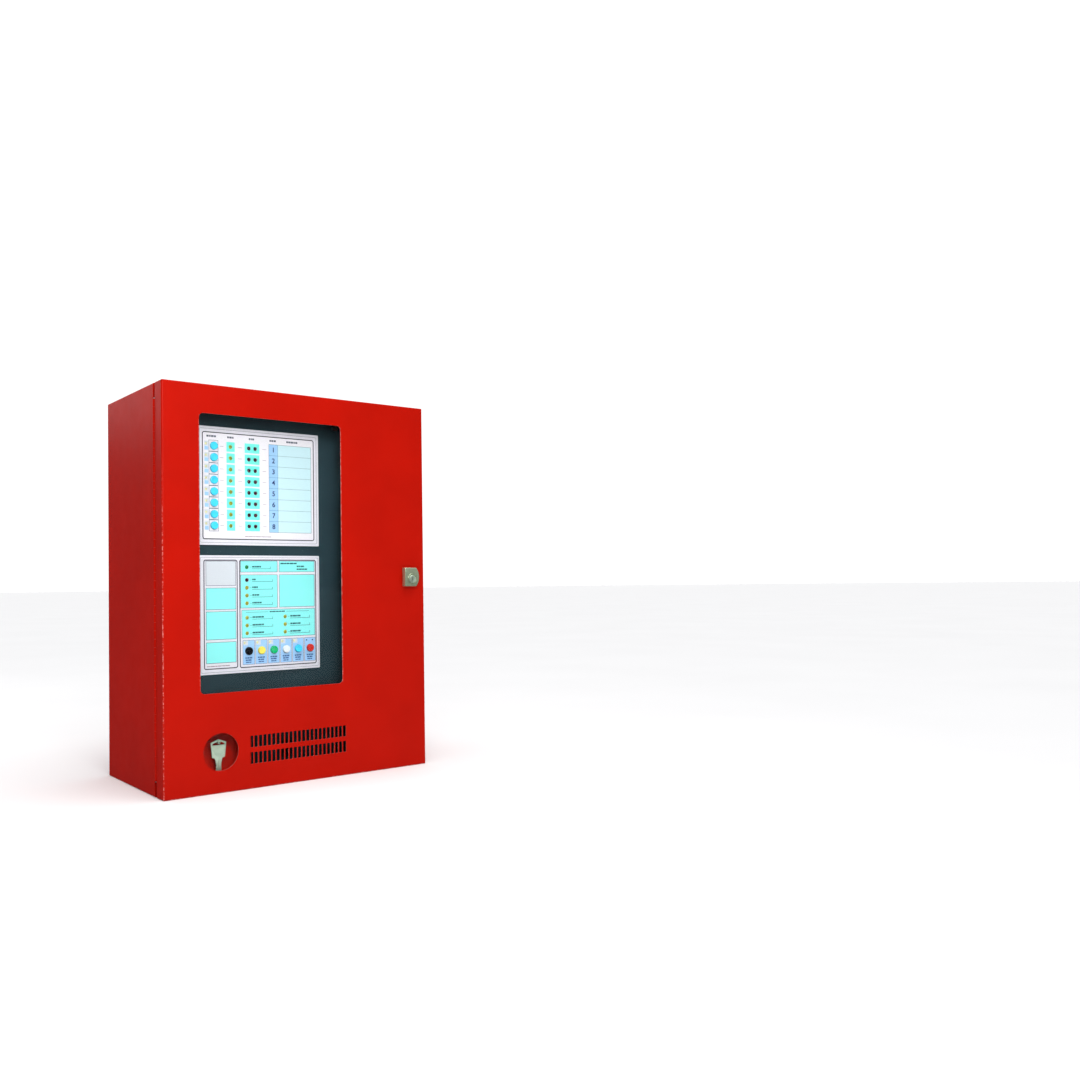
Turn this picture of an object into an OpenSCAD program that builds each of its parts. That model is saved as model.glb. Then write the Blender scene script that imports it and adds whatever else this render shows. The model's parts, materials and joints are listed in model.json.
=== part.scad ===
// Wall-mounted fire alarm control panel with eight zones.
// Origin: middle of the four wall fixings, on the wall. +X right, -Y out of the wall, +Z up.

/* [Cabinet] */
// Width of the cabinet and its door
body_w = 380; // [372:2:396]
// Height of the cabinet and its door
body_h = 500; // [496:2:520]
// Depth from the wall to the front of the door
body_d = 200; // [190:2:220]
// Thickness of the sheet steel
sheet = 1.2; // [1:0.1:1.4]
// Outside radius of the folded edges
bend_r = 2; // [1.8:0.2:3]
// Width of the returns around the front opening
return_w = 14; // [12:1:15]
// Width of the return beside the hinge
hinge_return_w = 26; // [25:1:27]

/* [Wall fixings and cable entries] */
// Distance between the wall fixings, across
fixing_w = 280; // [240:10:300]
// Distance between the wall fixings, up
fixing_h = 400; // [360:10:420]
// Radius of a wall fixing hole
fixing_r = 3.5; // [3:0.25:4]
// Number of cable entries in the gland plate
entry_count = 6; // [4:1:6]
// Number of entries left open, from the left
entry_open = 2; // [1:1:3]
// Distance between cable entries
entry_pitch = 44; // [40:1:46]
// Radius of a cable entry
entry_r = 10.25; // [8:0.25:12.5]
// Distance from the wall to the line of cable entries
entry_depth = 70; // [60:5:80]
// Thickness of the gland plate
gland_t = 1.5; // [1:0.25:2]

/* [Door] */
// Depth of the door's folded edge
door_depth = 26; // [24:1:28]
// Gap between door and cabinet at the closing edges
door_gap = 2; // [2:0.5:3]
// Gap between door and cabinet at the hinge edge
hinge_gap = 6; // [6:0.5:7]
// Radius of a hinge knuckle
knuckle_r = 2.5; // [2.2:0.1:2.6]
// Radius of the hinge pin
pin_r = 1; // [0.8:0.1:1.2]
// Length of one hinge knuckle
knuckle_pitch = 10; // [10:1:12]
// Number of knuckles, both leaves together
knuckle_count = 46; // [30:2:46]

/* [Window] */
// Width of the window opening
window_w = 199; // [190:1:202]
// Height of the window opening
window_h = 342; // [330:2:346]
// Sideways place of the window's middle
window_x = -43.5; // [-46:0.5:-42]
// Height of the window's middle
window_z = 43; // [40:1:44]
// Corner radius of the window opening
window_r = 5.5; // [4:0.5:8]
// Thickness of the clear pane
pane_t = 3; // [2:0.5:3]

/* [Spare key] */
// Radius of the round key window
key_window_r = 23; // [21:0.5:24]
// Sideways place of the key window
key_window_x = -117; // [-119:1:-115]
// Height of the key window
key_window_z = -200; // [-201:1:-199]
// Depth of the pocket behind the key window
pocket_depth = 18; // [17:0.5:18.5]
// Radius of the peg that the key hangs on
peg_r = 1.5; // [1.2:0.1:1.5]

/* [Vents] */
// Number of slots in a row
vent_count = 23; // [15:2:25]
// Distance between slots
vent_pitch = 6.1; // [5.5:0.1:6.2]
// Width of a slot
vent_w = 4.6; // [3:0.2:4.8]
// Height of a slot
vent_h = 14.5; // [10:0.5:16]
// Sideways place of the middle of the vents
vent_x = -9; // [-12:1:-6]
// Height of the middle of the upper row of slots
vent_z = -191.5; // [-193:0.5:-191]
// Distance between the two rows of slots
vent_row_gap = 20.5; // [19:0.5:21]

/* [Lock] */
// Sideways place of the lock
lock_x = 165; // [164:0.5:166]
// Height of the lock's axis
lock_z = 9; // [0:1:18]
// Width of the lock's housing
lock_w = 24; // [22:1:26]
// Height of the lock's housing
lock_h = 26; // [25:1:30]
// How far the housing stands out of the door
lock_out = 8.5; // [7:0.5:10]
// Radius of the turning plug
plug_r = 5.5; // [5:0.25:6]
// Length of the cam from its axis
cam_len = 20; // [18:0.5:21]

/* [Display modules] */
// Distance from the door's front to the faceplates
setback = 35; // [34:0.5:37]
// Width of a faceplate
face_w = 172; // [172:1:174]
// Height of a faceplate
face_h = 150; // [149:1:152]
// Thickness of a faceplate
face_t = 2; // [1.5:0.25:2]
// Sideways place of both faceplates
face_x = -45; // [-47:1:-43]
// Height of the middle of the zone faceplate
zone_z = 129.5; // [129:0.5:131]
// Height of the middle of the control faceplate
control_z = -33.5; // [-34:0.5:-33]
// Distance between the zone rows
row_pitch = 14.4; // [13:0.2:14.6]
// Distance between the control buttons
control_pitch = 17.8; // [16:0.2:18]
// Radius of a push button
button_r = 5; // [4:0.25:5.25]
// How far a push button stands out of its faceplate
button_out = 3.2; // [2.5:0.1:4]
// Radius of an indicator lamp
led_r = 2.5; // [2:0.25:2.5]
// Radius of the small lamp beside a button
small_led_r = 1.5; // [1:0.25:1.5]

/* [Hidden] */
$fn = 48;

panel_red = [0.78, 0.07, 0.05];
steel = [0.72, 0.73, 0.75];
brass = [0.8, 0.65, 0.3];
board_green = [0.1, 0.36, 0.2];
black_plastic = [0.08, 0.08, 0.09];
overlay_grey = [0.86, 0.87, 0.88];

eps = 0.5;             // overcut, so that cuts pass through
fit = 0.05;            // radial clearance of a running fit
loose = 0.2;           // radial clearance of a bolt in its hole

half_w = body_w / 2;
half_h = body_h / 2;
door_back = -body_d + door_depth;
cab_front = door_back + door_gap;
door_hinge_back = cab_front - hinge_gap;
door_inside = -body_d + sheet;
hinge_x = -half_w + 1;
hinge_y = cab_front - hinge_gap / 2;
hinge_len = knuckle_pitch * knuckle_count;
leaf_start = 3;        // from the pin to where a leaf is full height
leaf_end = 15;         // from the pin to the free edge of a leaf
leaf_t = hinge_gap / 2 - 1.5;

gland_w = entry_pitch * (entry_count - 1) + 60;
gland_d = 84;
gland_rim = 12;
screw_r = 2;
screw_len = 8;
head_r = 4;
head_t = 2.2;
earth_place = [120, -60];
earth_r = 3;
earth_len = 22.8;

stud_r = 2;
stud_len = 10;
retainer_rim = 19;     // from the window opening to the retainer's outer edge
pane_rim = 12;         // how far the pane reaches past the opening
retainer_t = 1.5;
retainer_back = door_inside + pane_t + retainer_t;
nut_r = 4;
nut_t = 3;

cam_front = cab_front + sheet + 0.5;
cam_t = 2;
cam_screw_r = 1.45;
plug_flat = 6.5;       // across the flats of the plug's tail
lock_round_r = 20;     // curve of the housing's side away from the hinge
lock_up = 3;           // from the lock's axis to the middle of its housing

vent_rows = [vent_z, vent_z - vent_row_gap];
vent_r = 1;

seal_t = 1;
glass_t = 2;
glass_r = key_window_r + 4;
pocket_front = door_inside + seal_t + glass_t;
pocket_back = pocket_front + pocket_depth;
pocket_w = 60;
pocket_h = 66;
pocket_z = key_window_z - 7;
pocket_flange_w = 84;
pocket_stud_x = 36;
pocket_stud_z = 24;
key_x = key_window_x + 1;
key_z = key_window_z + 10.5;
key_y = pocket_front + 6;
key_t = 2;
hook_seat = pocket_back - sheet;
hook_tail_r = 1.2;

zone_count = 8;
face_front = -body_d + setback;
plate_front = face_front + face_t;
plate_t = 1.5;
plate_back = plate_front + plate_t;
plate_left = -half_w + hinge_return_w + 3;
plate_right = half_w - return_w - 3;
plate_half_h = half_h - return_w - 3;
plate_flange = 12;
sounder_hole_r = 12;
face_overlap = 7;      // how far a faceplate overlaps the inner plate's cut-out
face_stud_r = 1.5;
board_front = plate_back + 6.5;
board_t = 1.6;
board_back = board_front + board_t;
travel = 2;
button_flange_t = 1;
button_seat = plate_front + button_flange_t + 0.1;
led_out = 1.2;
small_led_out = 0.8;
switch_w = 11;
switch_t = 3.5;
stem_r = 1.7;
stem_len = 3.9;

bracket_z = 150;
bracket_w = 20;
bracket_tab = 38;
bracket_leg = 20;
bracket_overlap = 16;
mid_bracket_x = 68;

back_inside = -sheet;
main_x = -45;
main_z = 95;
main_w = 220;
main_h = 150;
main_front = -20;
main_back = main_front + board_t;
transformer_place = [120, 90];

battery_w = 151;
battery_d = 65;
battery_h = 94;
battery_gap = 14;
battery_x = (battery_w + battery_gap) / 2;
battery_y = back_inside - bend_r - battery_d / 2;
battery_floor = -half_h + sheet;
terminal_x = 65;
tab_h = 6.5;
lead_y = main_front - 6;
lead_r = 1.4;
strap_t = 2;
strap_w = 20;
strap_z = battery_floor + 55;

function entry_x(i) = (i - (entry_count - 1) / 2) * entry_pitch;
function row_z(i) = zone_z + ((zone_count - 1) / 2 - i) * row_pitch;
function control_button_x(i) = face_x - 18.1 + i * control_pitch;

zone_button_x = face_x - 64.5;
zone_fault_x = face_x - 41.5;
zone_fire_x = [face_x - 16, face_x - 7];
control_button_z = control_z - 47.6;
status_x = face_x - 20;
status_pitch = 10;

zone_buttons = [for (i = [0 : zone_count - 1]) [zone_button_x, row_z(i)]];
control_buttons = [for (i = [0 : 5]) [control_button_x(i), control_button_z]];
zone_yellow = [for (i = [0 : zone_count - 1]) [zone_fault_x, row_z(i)]];
zone_red = [for (i = [0 : zone_count - 1], x = zone_fire_x) [x, row_z(i)]];
zone_small = [for (p = zone_buttons) p + [-10.2, 2.4]];
control_green = [[status_x, control_z + 60]];
control_red = [[status_x, control_z + 43.5]];
control_status = [for (i = [1 : 3]) [status_x, control_z + 43.5 - i * status_pitch]];
control_fault = [for (i = [0 : 2], x = [status_x, status_x + 54.5]) [x, control_z - 5 - i * status_pitch]];
control_small = [for (i = [0 : 4]) control_buttons[i] + [-5.5, 10.5]];
zone_lamps = concat(zone_yellow, zone_red);
control_lamps = concat(control_green, control_red, control_status, control_fault);

window_studs = concat(
    [for (sx = [-1, 1], sz = [-1, 0, 1])
        [window_x + sx * (window_w / 2 + retainer_rim - 3.5), window_z + sz * (window_h / 2 - 10)]],
    [for (sx = [-1, 1], sz = [-1, 1])
        [window_x + sx * window_w / 4, window_z + sz * (window_h / 2 + retainer_rim - 3.5)]]);
pocket_studs = [for (sx = [-1, 1], sz = [-1, 1])
    [key_window_x + sx * pocket_stud_x, pocket_z + sz * pocket_stud_z]];
gland_screws = [for (sx = [-1, 0, 1], sy = [-1, 1])
    [sx * (gland_w - gland_rim) / 2, -entry_depth + sy * (gland_d - gland_rim) / 2]];
inner_screws = concat(
    [for (x = [plate_left + 8, plate_right - 8], sz = [-1, 1]) [x, sz * bracket_z]],
    [for (sz = [-1, 1]) [mid_bracket_x, sz * (plate_half_h - 16)]]);
face_studs = [for (sx = [-1, 1], sz = [-1, 1]) [sx * (face_w / 2 - 3.5), sz * (face_h / 2 - 3.5)]];
main_studs = [for (sx = [-1, 1], sz = [-1, 1])
    [main_x + sx * (main_w / 2 - 6), main_z + sz * (main_h / 2 - 6)]];

// ---- Shared shapes ----

// Moves a shape to a place on the front view.
module at(p)
    translate([p[0], 0, p[1]]) children();

// Stands a front-view outline between two depths.
module slab(y_front, y_back)
    translate([0, y_back, 0]) rotate([90, 0, 0]) linear_extrude(y_back - y_front) children();

// Round bar along Y between two depths.
module rod(r, y_front, y_back)
    translate([0, y_back, 0]) rotate([90, 0, 0]) cylinder(r = r, h = y_back - y_front);

// Rectangle with round corners, centred.
module round_rect(w, h, r) {
    square([w - 2 * r, h], center = true);
    square([w, h - 2 * r], center = true);
    for (sx = [-1, 1], sy = [-1, 1])
        translate([sx * (w / 2 - r), sy * (h / 2 - r)]) circle(r);
}

// Block whose edges around the closed face, and whose four long edges, are rounded.
module folded_block(w, h, y_mouth, y_closed, r) {
    dir = sign(y_mouth - y_closed);
    run = abs(y_mouth - y_closed) + 4 * r;
    mid = y_closed + dir * run / 2;
    intersection() {
        slab(min(y_mouth, y_closed), max(y_mouth, y_closed)) round_rect(w, h, r);
        translate([0, mid, 0]) linear_extrude(h + 2, center = true) round_rect(w, run, r);
        translate([0, mid, 0]) rotate([0, 90, 0]) linear_extrude(w + 2, center = true)
            round_rect(h, run, r);
    }
}

// Open pan of folded sheet.
module folded_pan(y_mouth, y_closed) {
    dir = sign(y_mouth - y_closed);
    difference() {
        folded_block(body_w, body_h, y_mouth, y_closed, bend_r);
        folded_block(body_w - 2 * sheet, body_h - 2 * sheet, y_mouth + dir * eps,
            y_closed + dir * sheet, bend_r - sheet);
    }
}

// Front opening left between the returns, as an outline.
module mouth_outline() {
    w = body_w - hinge_return_w - return_w;
    translate([(hinge_return_w - return_w) / 2, 0]) square([w, body_h - 2 * return_w], center = true);
}

// Hexagonal nut on a stud, with its bore.
module nut(r, t, bore_r, y_front) {
    difference() {
        slab(y_front, y_front + t) circle(r, $fn = 6);
        rod(bore_r, y_front - eps, y_front + t + eps);
    }
}

// M4 pan-head screw whose head sits on a face at y_seat and whose shank runs back.
module screw(y_seat) {
    difference() {
        union() {
            rod(head_r, y_seat - head_t, y_seat);
            rod(screw_r, y_seat - eps, y_seat + screw_len);
        }
        slab(y_seat - head_t - eps, y_seat - head_t / 2) {
            square([head_r * 1.2, head_r * 0.3], center = true);
            square([head_r * 0.3, head_r * 1.2], center = true);
        }
    }
}

// Lead of constant width through a list of [across, up] points, all at one depth.
module lead(points) slab(lead_y - lead_r, lead_y + lead_r) {
    for (i = [0 : len(points) - 2]) {
        d = points[i + 1] - points[i];
        translate(points[i]) rotate(atan2(d[1], d[0])) translate([0, -lead_r]) square([norm(d), 2 * lead_r]);
        if (i > 0) translate(points[i]) circle(lead_r, $fn = 24);
    }
}

// ---- Cabinet ----

module cabinet() color(panel_red) difference() {
    union() {
        folded_pan(cab_front, 0);
        slab(cab_front, cab_front + sheet) difference() {
            round_rect(body_w, body_h, bend_r);
            mouth_outline();
        }
    }
    for (sx = [-1, 1], sz = [-1, 1])
        at([sx * fixing_w / 2, sz * fixing_h / 2]) rod(fixing_r, -sheet - eps, eps);
    translate([0, -entry_depth, half_h])
        cube([gland_w - 2 * gland_rim, gland_d - 2 * gland_rim, 4 * sheet], center = true);
    for (p = gland_screws)
        translate([p[0], p[1], half_h - 2 * sheet]) cylinder(r = screw_r + fit, h = 4 * sheet);
}

module gland_plate() color(panel_red) translate([0, 0, half_h]) difference() {
    translate([0, -entry_depth, 0]) linear_extrude(gland_t) round_rect(gland_w, gland_d, 3);
    for (i = [0 : entry_count - 1])
        translate([entry_x(i), -entry_depth, -eps]) cylinder(r = entry_r, h = gland_t + 2 * eps);
    for (p = gland_screws)
        translate([p[0], p[1], -eps]) cylinder(r = screw_r + loose, h = gland_t + 2 * eps);
}

// Twelve alike: six hold the gland plate and six hold the inner plate.
module plate_screws() color(steel) {
    for (p = gland_screws)
        translate([p[0], p[1], half_h + gland_t]) rotate([-90, 0, 0]) screw(0);
    for (p = inner_screws) at(p) screw(plate_front);
}

// Snap-in plugs: a flat cap on the plate and a hollow skirt in the hole.
module entry_plugs() color(black_plastic) {
    cap_rim = 3;
    cap_t = 2;
    skirt = gland_t + 6;
    wall = 1.6;
    for (i = [entry_open : entry_count - 1])
        translate([entry_x(i), -entry_depth, half_h + gland_t]) {
            cylinder(r = entry_r + cap_rim, h = cap_t);
            difference() {
                translate([0, 0, -skirt]) cylinder(r = entry_r - 0.1, h = skirt + eps);
                translate([0, 0, -skirt - 1]) cylinder(r = entry_r - 0.1 - wall, h = skirt + 1);
            }
        }
}

// Stud for the earth lead, with a spacer and a nut.
module earth_stud() color(brass) at(earth_place) {
    base_front = back_inside - 5.8;
    earth_nut_t = 5;
    rod(earth_r, back_inside - earth_len, back_inside);
    spacer(earth_r + 4, earth_r + fit, base_front, back_inside);
    nut(earth_r * 1.9, earth_nut_t, earth_r + fit, base_front - earth_nut_t);
}

// ---- Hinge ----

// One leaf: side is +1 for the cabinet's leaf and -1 for the door's.
module hinge_leaf(side, first) {
    leaf_y = side > 0 ? hinge_gap / 2 - leaf_t : -hinge_gap / 2;
    translate([hinge_x, hinge_y, 0]) difference() {
        union() {
            translate([leaf_start, leaf_y, -hinge_len / 2])
                cube([leaf_end - leaf_start, leaf_t, hinge_len]);
            for (i = [first : 2 : knuckle_count - 1])
                translate([0, 0, -hinge_len / 2 + i * knuckle_pitch + 0.1]) {
                    cylinder(r = knuckle_r, h = knuckle_pitch - 0.2, $fn = 32);
                    translate([0, side > 0 ? leaf_y : -knuckle_r, 0])
                        cube([leaf_start + eps, knuckle_r + leaf_t - hinge_gap / 2, knuckle_pitch - 0.2]);
                }
        }
        translate([0, 0, -hinge_len / 2 - eps]) cylinder(r = pin_r + fit, h = hinge_len + 2 * eps);
    }
}

module hinge_cabinet_leaf() color(panel_red) hinge_leaf(1, 0);

module hinge_door_leaf() color(panel_red) hinge_leaf(-1, 1);

module hinge_pin() color(steel) translate([hinge_x, hinge_y, -hinge_len / 2 - 1.2]) {
    cylinder(r = pin_r, h = hinge_len + 2.4);
    for (z = [0, hinge_len + 1.4]) translate([0, 0, z]) cylinder(r = pin_r + 0.7, h = 1);
}

// ---- Door ----

module vent_outline()
    for (i = [0 : vent_count - 1], z = vent_rows)
        translate([vent_x + (i - (vent_count - 1) / 2) * vent_pitch, z])
            round_rect(vent_w, vent_h, vent_r);

module door() color(panel_red) difference() {
    union() {
        difference() {
            folded_pan(door_back, -body_d);
            translate([-half_w - 1, door_hinge_back, -half_h - 1])
                cube([hinge_return_w + 1, door_depth, body_h + 2]);
        }
        slab(door_back - sheet, door_back) difference() {
            round_rect(body_w, body_h, bend_r);
            mouth_outline();
            translate([-half_w - 1, -half_h - 1]) square([hinge_return_w + 1, body_h + 2]);
        }
        slab(door_hinge_back - sheet, door_hinge_back) intersection() {
            round_rect(body_w, body_h, bend_r);
            translate([-half_w, -half_h]) square([hinge_return_w, body_h]);
        }
        for (p = concat(window_studs, pocket_studs))
            at(p) rod(stud_r, door_inside - sheet / 2, door_inside + stud_len);
    }
    slab(-body_d - eps, door_inside + eps) {
        translate([window_x, window_z]) round_rect(window_w, window_h, window_r);
        translate([key_window_x, key_window_z]) circle(key_window_r);
        vent_outline();
    }
    at([lock_x, lock_z]) rod(plug_r + 3.6, -body_d - eps, door_inside + eps);
}

// Foam strip around the mouth; the strip beside the hinge is thicker.
module door_gasket() color(black_plastic) {
    seal_w = 8;
    inset = 4;
    squash = 0.2;
    left = -half_w + hinge_return_w - 9;
    slab(door_back, cab_front - squash) difference() {
        translate([left + 9, -half_h + inset]) square([body_w - hinge_return_w - inset, body_h - 2 * inset]);
        translate([left, -half_h + inset + seal_w])
            square([half_w - inset - seal_w - left, body_h - 2 * (inset + seal_w)]);
    }
    slab(door_hinge_back, cab_front - squash)
        translate([left, -half_h + inset]) square([seal_w, body_h - 2 * inset]);
}

module door_nuts() color(steel) {
    for (p = window_studs) at(p) nut(nut_r, nut_t, stud_r + fit, retainer_back);
    for (p = pocket_studs) at(p) nut(nut_r, nut_t, stud_r + fit, pocket_front + sheet);
}

module window_pane() color([0.8, 0.88, 0.9, 0.3])
    slab(door_inside, door_inside + pane_t) translate([window_x, window_z])
        round_rect(window_w + 2 * pane_rim, window_h + 2 * pane_rim, 3);

// Frame that holds the pane's edge against the door.
module window_retainer() color(black_plastic) difference() {
    slab(door_inside, retainer_back) translate([window_x, window_z]) difference() {
        round_rect(window_w + 2 * retainer_rim, window_h + 2 * retainer_rim, 4);
        round_rect(window_w + 6, window_h + 6, window_r + 3);
    }
    slab(door_inside - eps, door_inside + pane_t) translate([window_x, window_z])
        square([window_w + 2 * pane_rim + 0.4, window_h + 2 * pane_rim + 0.4], center = true);
    for (p = window_studs) at(p) rod(stud_r + loose, door_inside - eps, retainer_back + eps);
}

// ---- Lock ----

// Square towards the hinge and curved on the side away from it.
module lock_outline() intersection() {
    round_rect(lock_w, lock_h, 2);
    union() {
        translate([lock_w / 2 - lock_round_r, 0]) circle(lock_round_r);
        translate([-lock_w / 2, -lock_h / 2]) square([lock_w - lock_round_r, lock_h]);
    }
}

module lock_body() color(steel) at([lock_x, lock_z]) difference() {
    union() {
        slab(-body_d - lock_out, -body_d) translate([0, lock_up]) lock_outline();
        rod(plug_r + 3.5, -body_d - eps, door_back);
    }
    rod(plug_r + fit, -body_d - lock_out - eps, door_back + eps);
}

module lock_nut() color(steel) at([lock_x, lock_z])
    nut(nut_r * 3.2, 4, plug_r + 3.5 + fit, door_inside);

// Turning plug with a keyway in front and a flatted tail for the cam.
module lock_plug() color([0.8, 0.78, 0.72]) at([lock_x, lock_z]) {
    proud = 0.6;
    keyway = [1.8, 7];
    difference() {
        union() {
            rod(plug_r, -body_d - lock_out - proud, door_back);
            slab(door_back - eps, cam_front + cam_t) intersection() {
                circle(plug_r - 1);
                square([2 * plug_r, plug_flat], center = true);
            }
        }
        slab(-body_d - lock_out - 2 * proud, -body_d + 6) square(keyway, center = true);
        rod(cam_screw_r + fit, cab_front - 6, cab_front + 6);
    }
}

// Cam that reaches behind the cabinet's return when it is turned.
module lock_cam() color(steel) at([lock_x, lock_z])
    slab(cam_front, cam_front + cam_t) {
        hub_r = 7.5;
        arm_w = 10;
        difference() {
            union() {
                circle(hub_r);
                translate([-arm_w / 2, -cam_len]) square([arm_w, cam_len]);
            }
            intersection() {
                circle(plug_r - 1 + fit);
                square([2 * plug_r, plug_flat + 2 * fit], center = true);
            }
        }
    }

module lock_cam_screw() color(steel) at([lock_x, lock_z]) {
    head_r = 4.2;
    head_t = 2;
    head_front = cam_front + cam_t;
    difference() {
        union() {
            rod(cam_screw_r, cab_front - 5, head_front);
            rod(head_r, head_front, head_front + head_t);
        }
        slab(head_front + head_t / 2, head_front + head_t + eps) square([6, 1.2], center = true);
    }
}

// ---- Spare key behind its window ----

module key_glass() color([0.8, 0.9, 0.9, 0.3]) at([key_window_x, key_window_z])
    rod(glass_r, door_inside + seal_t, pocket_front);

module key_glass_seal() color(black_plastic) at([key_window_x, key_window_z])
    slab(door_inside, door_inside + seal_t) difference() {
        circle(glass_r + 2);
        circle(key_window_r);
    }

// Box open at the round window.
module key_pocket() color(panel_red) difference() {
    union() {
        slab(pocket_front, pocket_front + sheet) translate([key_window_x, pocket_z])
            round_rect(pocket_flange_w, pocket_h, 2);
        slab(pocket_front, pocket_back) translate([key_window_x, pocket_z])
            round_rect(pocket_w, pocket_h, 2);
    }
    slab(pocket_front + sheet, hook_seat) translate([key_window_x, pocket_z])
        round_rect(pocket_w - 2 * sheet, pocket_h - 2 * sheet, 1);
    slab(pocket_front - eps, pocket_front + sheet + eps) translate([key_window_x, key_window_z])
        circle(key_window_r);
    for (p = pocket_studs) at(p) rod(stud_r + loose, pocket_front - eps, pocket_front + 2 * sheet);
    at([key_x, key_z]) rod(hook_tail_r + fit, hook_seat - eps, pocket_back + eps);
}

// Peg for the key, riveted to the pocket's back, with an upturned end.
module key_hook() color(steel) at([key_x, key_z]) {
    tip_w = 2.4;
    tip_t = 1.8;
    tip_rise = 3.4;
    tip_front = key_y - tip_t - 0.6;
    rod(peg_r, tip_front, hook_seat);
    rod(peg_r + 2, hook_seat - 1, hook_seat);
    rod(hook_tail_r, hook_seat - eps, pocket_back);
    slab(tip_front, tip_front + tip_t) translate([-tip_w / 2, 0]) square([tip_w, tip_rise]);
}

// Flat key with a roofed bow. The hole's sloping top rests on the peg.
module spare_key() color([0.75, 0.72, 0.62]) at([key_x, key_z]) slab(key_y, key_y + key_t) {
    bow = 10.3;            // half widths, from the top down
    waist = 8.4;
    neck = 5;
    blade = 3.5;
    slot = 7.9;
    difference() {
        polygon([[0, 4], [bow, -0.1], [waist, -18.5], [neck, -19.3], [blade, -25], [blade, -39.5],
            [1.5, -43.5], [-1.5, -43.5], [-blade, -41], [-blade, -25], [-neck, -19.3], [-waist, -18.5],
            [-bow, -0.1]]);
        polygon([[0, peg_r * 1.12], [slot, -1.6], [slot, -3.3], [-slot, -3.3], [-slot, -1.6]]);
        for (z = [-28, -32, -36]) translate([-blade, z]) circle(1.1, $fn = 4);
    }
}

// ---- Inner plate and display modules ----

module inner_plate() color([0.1, 0.12, 0.14]) difference() {
    union() {
        slab(plate_front, plate_back) translate([plate_left, -plate_half_h])
            square([plate_right - plate_left, 2 * plate_half_h]);
        for (z = [-plate_half_h, plate_half_h - plate_t])
            translate([plate_left, plate_front, z]) cube([plate_right - plate_left, plate_flange, plate_t]);
    }
    slab(plate_front - eps, plate_back + eps) {
        for (z = [zone_z, control_z])
            translate([face_x, z])
                square([face_w - 2 * face_overlap, face_h - 2 * face_overlap], center = true);
        translate([vent_x, vent_rows[1]]) circle(sounder_hole_r);
    }
    for (p = inner_screws) at(p) rod(screw_r + loose, plate_front - eps, plate_back + eps);
    for (z = [zone_z, control_z], p = face_studs)
        at(p + [face_x, z]) rod(face_stud_r + loose, plate_front - eps, plate_back + eps);
}

// Angle at the right-hand wall: a tab behind the inner plate and a leg along the wall.
module side_bracket(z, reach) translate([half_w - sheet, plate_back, z - bracket_w / 2]) {
    translate([-reach, 0, 0]) cube([reach, plate_t, bracket_w]);
    translate([-plate_t, 0, 0]) cube([plate_t, bracket_leg, bracket_w]);
}

// Angle at the top wall, with a block that fills the depth of the plate's flange.
module top_bracket() {
    tab_y = plate_front + plate_flange + 1;
    translate([mid_bracket_x - bracket_w / 2, 0, 0]) {
        translate([0, tab_y, half_h - sheet - bracket_tab]) cube([bracket_w, plate_t, bracket_tab]);
        translate([0, tab_y, half_h - sheet - plate_t]) cube([bracket_w, bracket_leg, plate_t]);
        translate([0, plate_back, plate_half_h - 24]) cube([bracket_w, plate_flange + 1, 16]);
    }
}

// Angle brackets welded inside the cabinet: four at the sides, one at the top and one below.
module inner_plate_brackets() color(panel_red) difference() {
    union() {
        for (sz = [-1, 1]) {
            side_bracket(sz * bracket_z, half_w - sheet - plate_right + bracket_overlap);
            mirror([1, 0, 0])
                side_bracket(sz * bracket_z, half_w - sheet + plate_left + bracket_overlap);
        }
        top_bracket();
        mirror([0, 0, 1]) top_bracket();
    }
    for (p = inner_screws) at(p) rod(screw_r + fit, plate_back - eps, plate_back + 9);
}

module faceplate(z, lamps, small, buttons) color(overlay_grey) {
    difference() {
        slab(face_front, plate_front) translate([face_x, z]) round_rect(face_w, face_h, 1);
        for (p = lamps) at(p) rod(led_r + 0.1, face_front - eps, plate_front + eps);
        for (p = small) at(p) rod(small_led_r + 0.1, face_front - eps, plate_front + eps);
        for (p = buttons) at(p) rod(button_r + 0.1, face_front - eps, plate_front + eps);
    }
    for (p = face_studs) at(p + [face_x, z]) rod(face_stud_r, plate_front - eps, board_back + 4);
}

module zone_faceplate() faceplate(zone_z, zone_lamps, zone_small, zone_buttons);

module control_faceplate() faceplate(control_z, control_lamps, control_small, control_buttons);

module display_board(z) color(board_green) difference() {
    slab(board_front, board_back) translate([face_x, z]) square([face_w - 1, face_h - 1], center = true);
    for (p = face_studs) at(p + [face_x, z]) rod(face_stud_r + loose, board_front - eps, board_back + eps);
}

module zone_board() display_board(zone_z);

module control_board() display_board(control_z);

// Push button: a retaining flange behind the faceplate, a cap in front and a stem into its switch.
module push_button(p, shade) color(shade) at(p) translate([0, button_seat, 0]) rotate([90, 0, 0])
    rotate_extrude() {
        edge = 0.8;
        cap = button_seat - face_front + button_out;
        square([button_r + 0.8, button_flange_t]);
        square([button_r, cap - edge]);
        square([button_r - edge, cap]);
        translate([button_r - edge, cap - edge]) circle(edge, $fn = 24);
        translate([0, -stem_len]) square([stem_r, stem_len + eps]);
    }

module zone_button(i) push_button(zone_buttons[i], [0.1, 0.6, 0.85]);

module push_switches() color(black_plastic)
    for (p = concat(zone_buttons, control_buttons)) at(p) difference() {
        slab(board_front - switch_t, board_front) square(switch_w, center = true);
        rod(stem_r + 0.1, board_front - switch_t - eps, board_front - 0.6);
    }

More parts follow.
